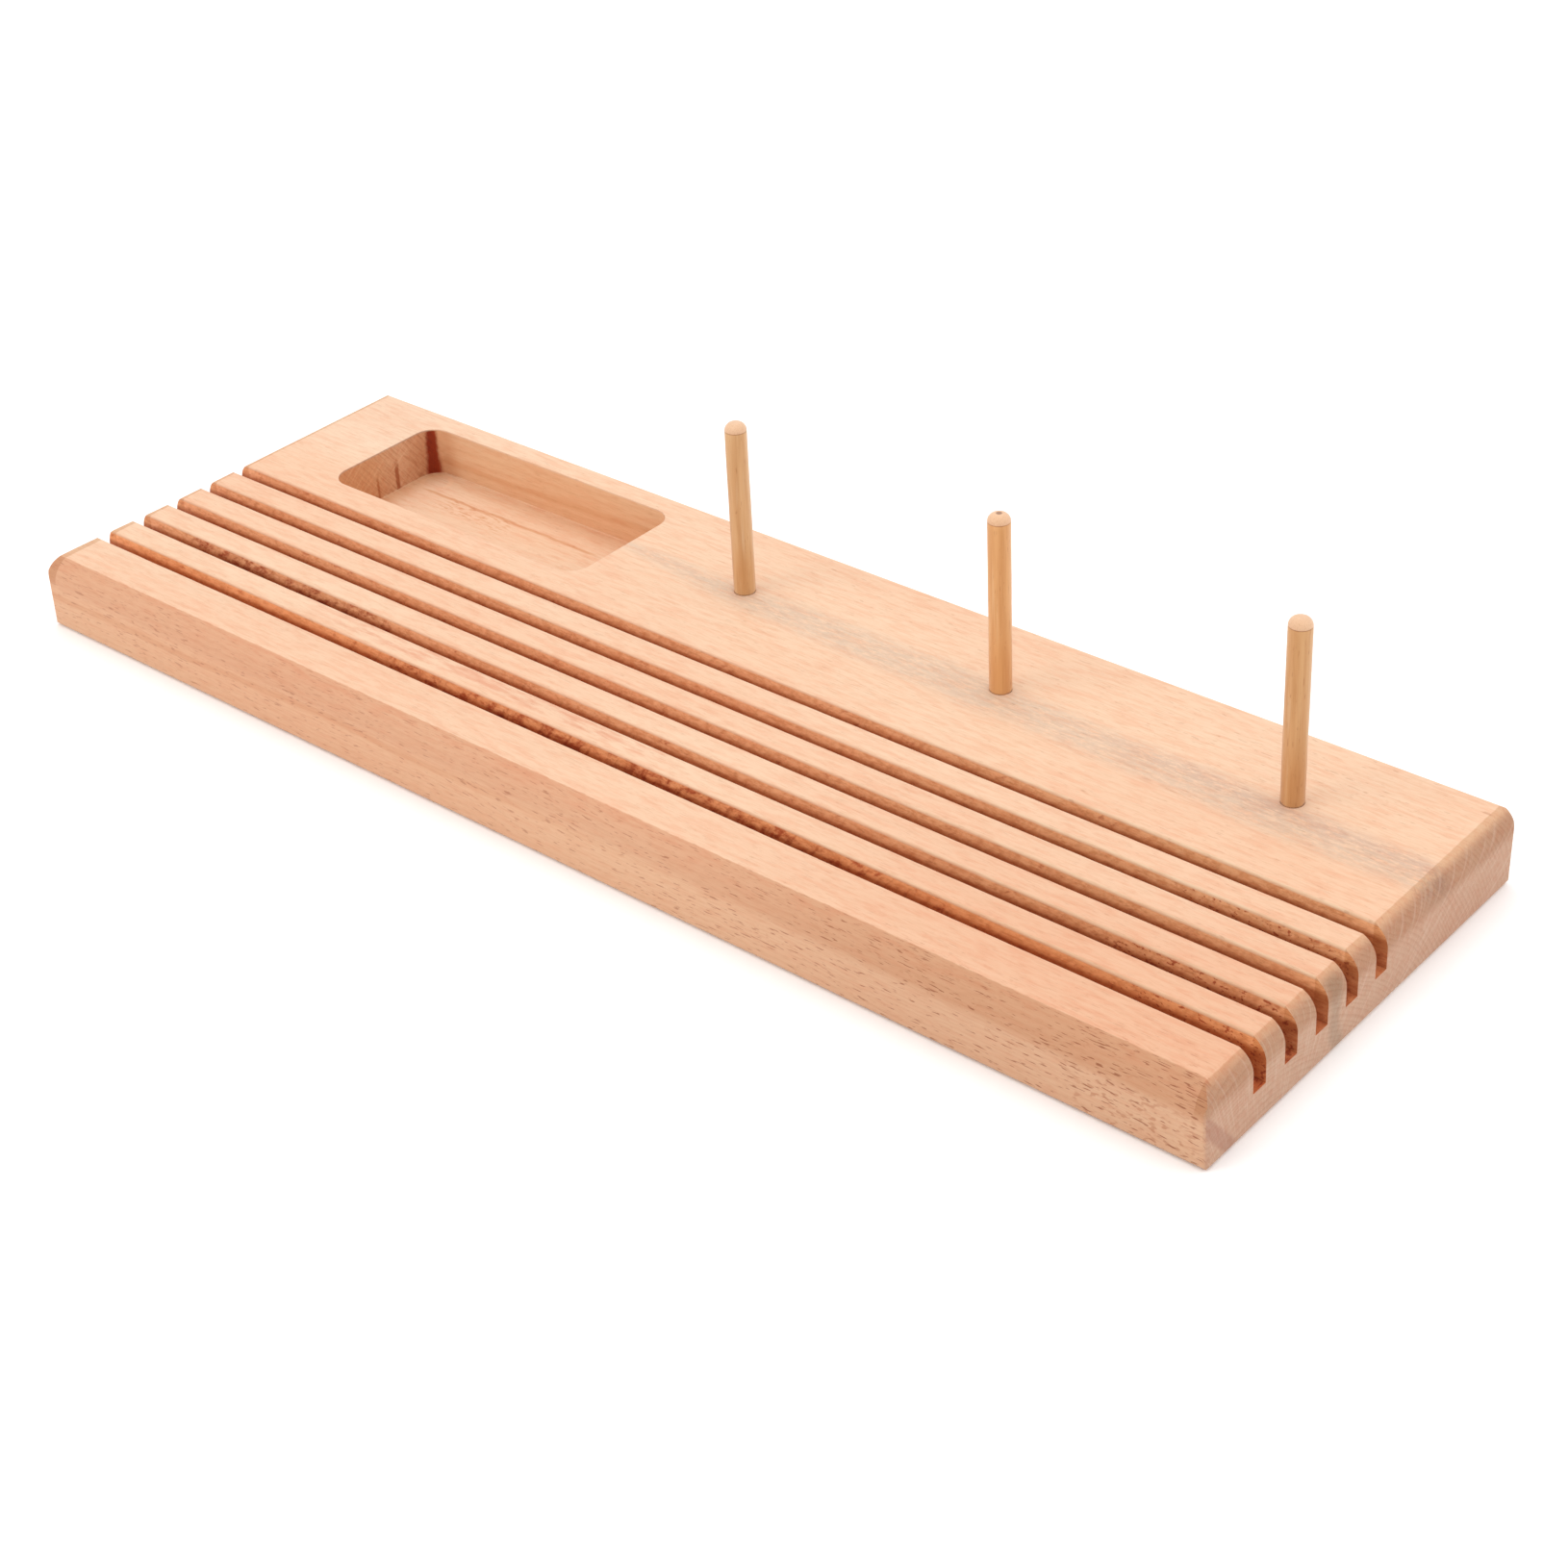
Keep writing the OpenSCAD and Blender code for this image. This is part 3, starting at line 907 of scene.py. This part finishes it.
def peg_wood():
    """The pegs' beech, yellower and smoother than the board's, with a faint sheen."""
    g = Graph("beech_peg")
    x, y, z = g.millimetres()
    coarse = g.noise(x / 1.8, y / 1.8, z / 30, detail=3.0)
    fine = g.noise(x / 0.32, y / 0.32, z / 12)
    fleck = g.ramp(g.noise(x / 0.4, y / 0.4, z / 3.2, detail=1.0), 0.66, 0.76)
    pale = g.noise(x / 0.7, y / 0.7, z / 22, detail=1.0)
    color = g.mix(g.ramp(coarse, 0.3, 0.7), PEG_DARK, PEG_LIGHT)
    color = g.tint(color, PEG_FIBRE, g.ramp(fine, 0.45, 0.78) * 0.6)
    color = g.mix(g.ramp(pale, 0.58, 0.74) * 0.45, color, PEG_PALE)
    color = g.tint(color, PEG_FLECK, fleck * 0.5)
    color = tint_dowels(g, color, x, z)
    color, tip = tint_tips(g, color, x, y, z)
    roughness = 0.44 + (fine - 0.5) * 0.14 + tip * 0.12
    height = (fine - 0.5) * 0.6 - fleck * 0.3
    return g.finish(color, roughness, height, PEG_BUMP_HEIGHT, PEG_GLOSS, PEG_SHEEN)


# ---------------------------------------------------------------- studio

FLOOR_REACH = 8.0
# Just under the board, so that the two don't lie in one plane
FLOOR_Z = -0.2 * MM
FLOOR_TONES = [(0.96, 0.96, 0.96), (0.98, 0.98, 0.98)]
WARM_LIGHT = (1, 0.95, 0.9)

CAMERA_PLACE = (0.4642, -0.4940, 0.4355)
CAMERA_FORWARD = (-0.57653, 0.65167, -0.49289)
CAMERA_RIGHT = (0.76467, 0.64289, -0.04444)
# The lens and sensor in millimetres; the shift is a share of the picture
CAMERA_LENS = 68.38
CAMERA_SENSOR = 36
CAMERA_SHIFT_Y = -0.1358


def make_floor():
    """A wide pale floor."""
    mesh = bpy.data.meshes.new("floor")
    builder = bmesh.new()
    reach = FLOOR_REACH
    corners = [(-reach, -reach), (reach, -reach), (reach, reach), (-reach, reach)]
    builder.faces.new([builder.verts.new((x, y, FLOOR_Z)) for x, y in corners])
    builder.to_mesh(mesh)
    builder.free()
    floor = bpy.data.objects.new("floor", mesh)
    bpy.context.scene.collection.objects.link(floor)
    g = Graph("floor_paint")
    x, y, _ = g.split(g.node("TexCoord").outputs["Object"])
    cloud = g.noise(x * 1.5, y * 1.5, 0.0)
    color = g.mix(cloud, *FLOOR_TONES)
    mesh.materials.append(g.finish(color, 0.8 + cloud * 0.1, cloud, 0.01 * MM, 0.1))


def make_light(name, place, size, power, color=(1, 1, 1)):
    """A square soft light that points at the middle of the board's underside."""
    lamp = bpy.data.lights.new(name, "AREA")
    lamp.shape = "SQUARE"
    lamp.size = size
    lamp.energy = power
    lamp.color = color
    light = bpy.data.objects.new(name, lamp)
    light.location = place
    light.rotation_euler = (-Vector(place)).to_track_quat("-Z", "Y").to_euler()
    bpy.context.scene.collection.objects.link(light)


def make_studio():
    """White surroundings and soft light from above, from the back right and from the front left."""
    world = bpy.data.worlds.new("studio")
    world.use_nodes = True
    background = world.node_tree.nodes["Background"]
    background.inputs["Color"].default_value = (1, 1, 1, 1)
    background.inputs["Strength"].default_value = 1.0
    bpy.context.scene.world = world
    bpy.context.scene.view_settings.view_transform = "Standard"
    make_light("overhead", (-0.1, 0.2, 1.6), size=1.8, power=9)
    make_light("back_right", (1.1, 0.7, 0.7), size=1.0, power=3)
    make_light("front_left", (-0.9, -1.5, 1.1), size=1.2, power=9, color=WARM_LIGHT)


def make_camera():
    """The camera stands to the right of the front and looks down along the board."""
    lens = bpy.data.cameras.new("camera")
    lens.sensor_width = CAMERA_SENSOR
    lens.lens = CAMERA_LENS
    lens.shift_y = CAMERA_SHIFT_Y
    lens.clip_start = 0.01
    camera = bpy.data.objects.new("camera", lens)
    camera.location = CAMERA_PLACE
    forward = Vector(CAMERA_FORWARD)
    right = Vector(CAMERA_RIGHT)
    up = right.cross(forward)
    axes = Matrix((right.normalized(), up.normalized(), -forward.normalized()))
    camera.rotation_euler = axes.transposed().to_euler()
    bpy.context.scene.collection.objects.link(camera)
    bpy.context.scene.camera = camera


# ---------------------------------------------------------------- the whole

make_camera()
make_studio()
make_floor()

board = make_board()
board.data.materials.append(board_wood())
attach(board, "board")
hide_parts("board")

peg_material = peg_wood()
for seed, (node, body) in enumerate(zip(PEG_NODES, PEG_BODIES)):
    peg = make_peg(node, seed)
    peg.data.materials.append(peg_material)
    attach(peg, body)
    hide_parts(node)
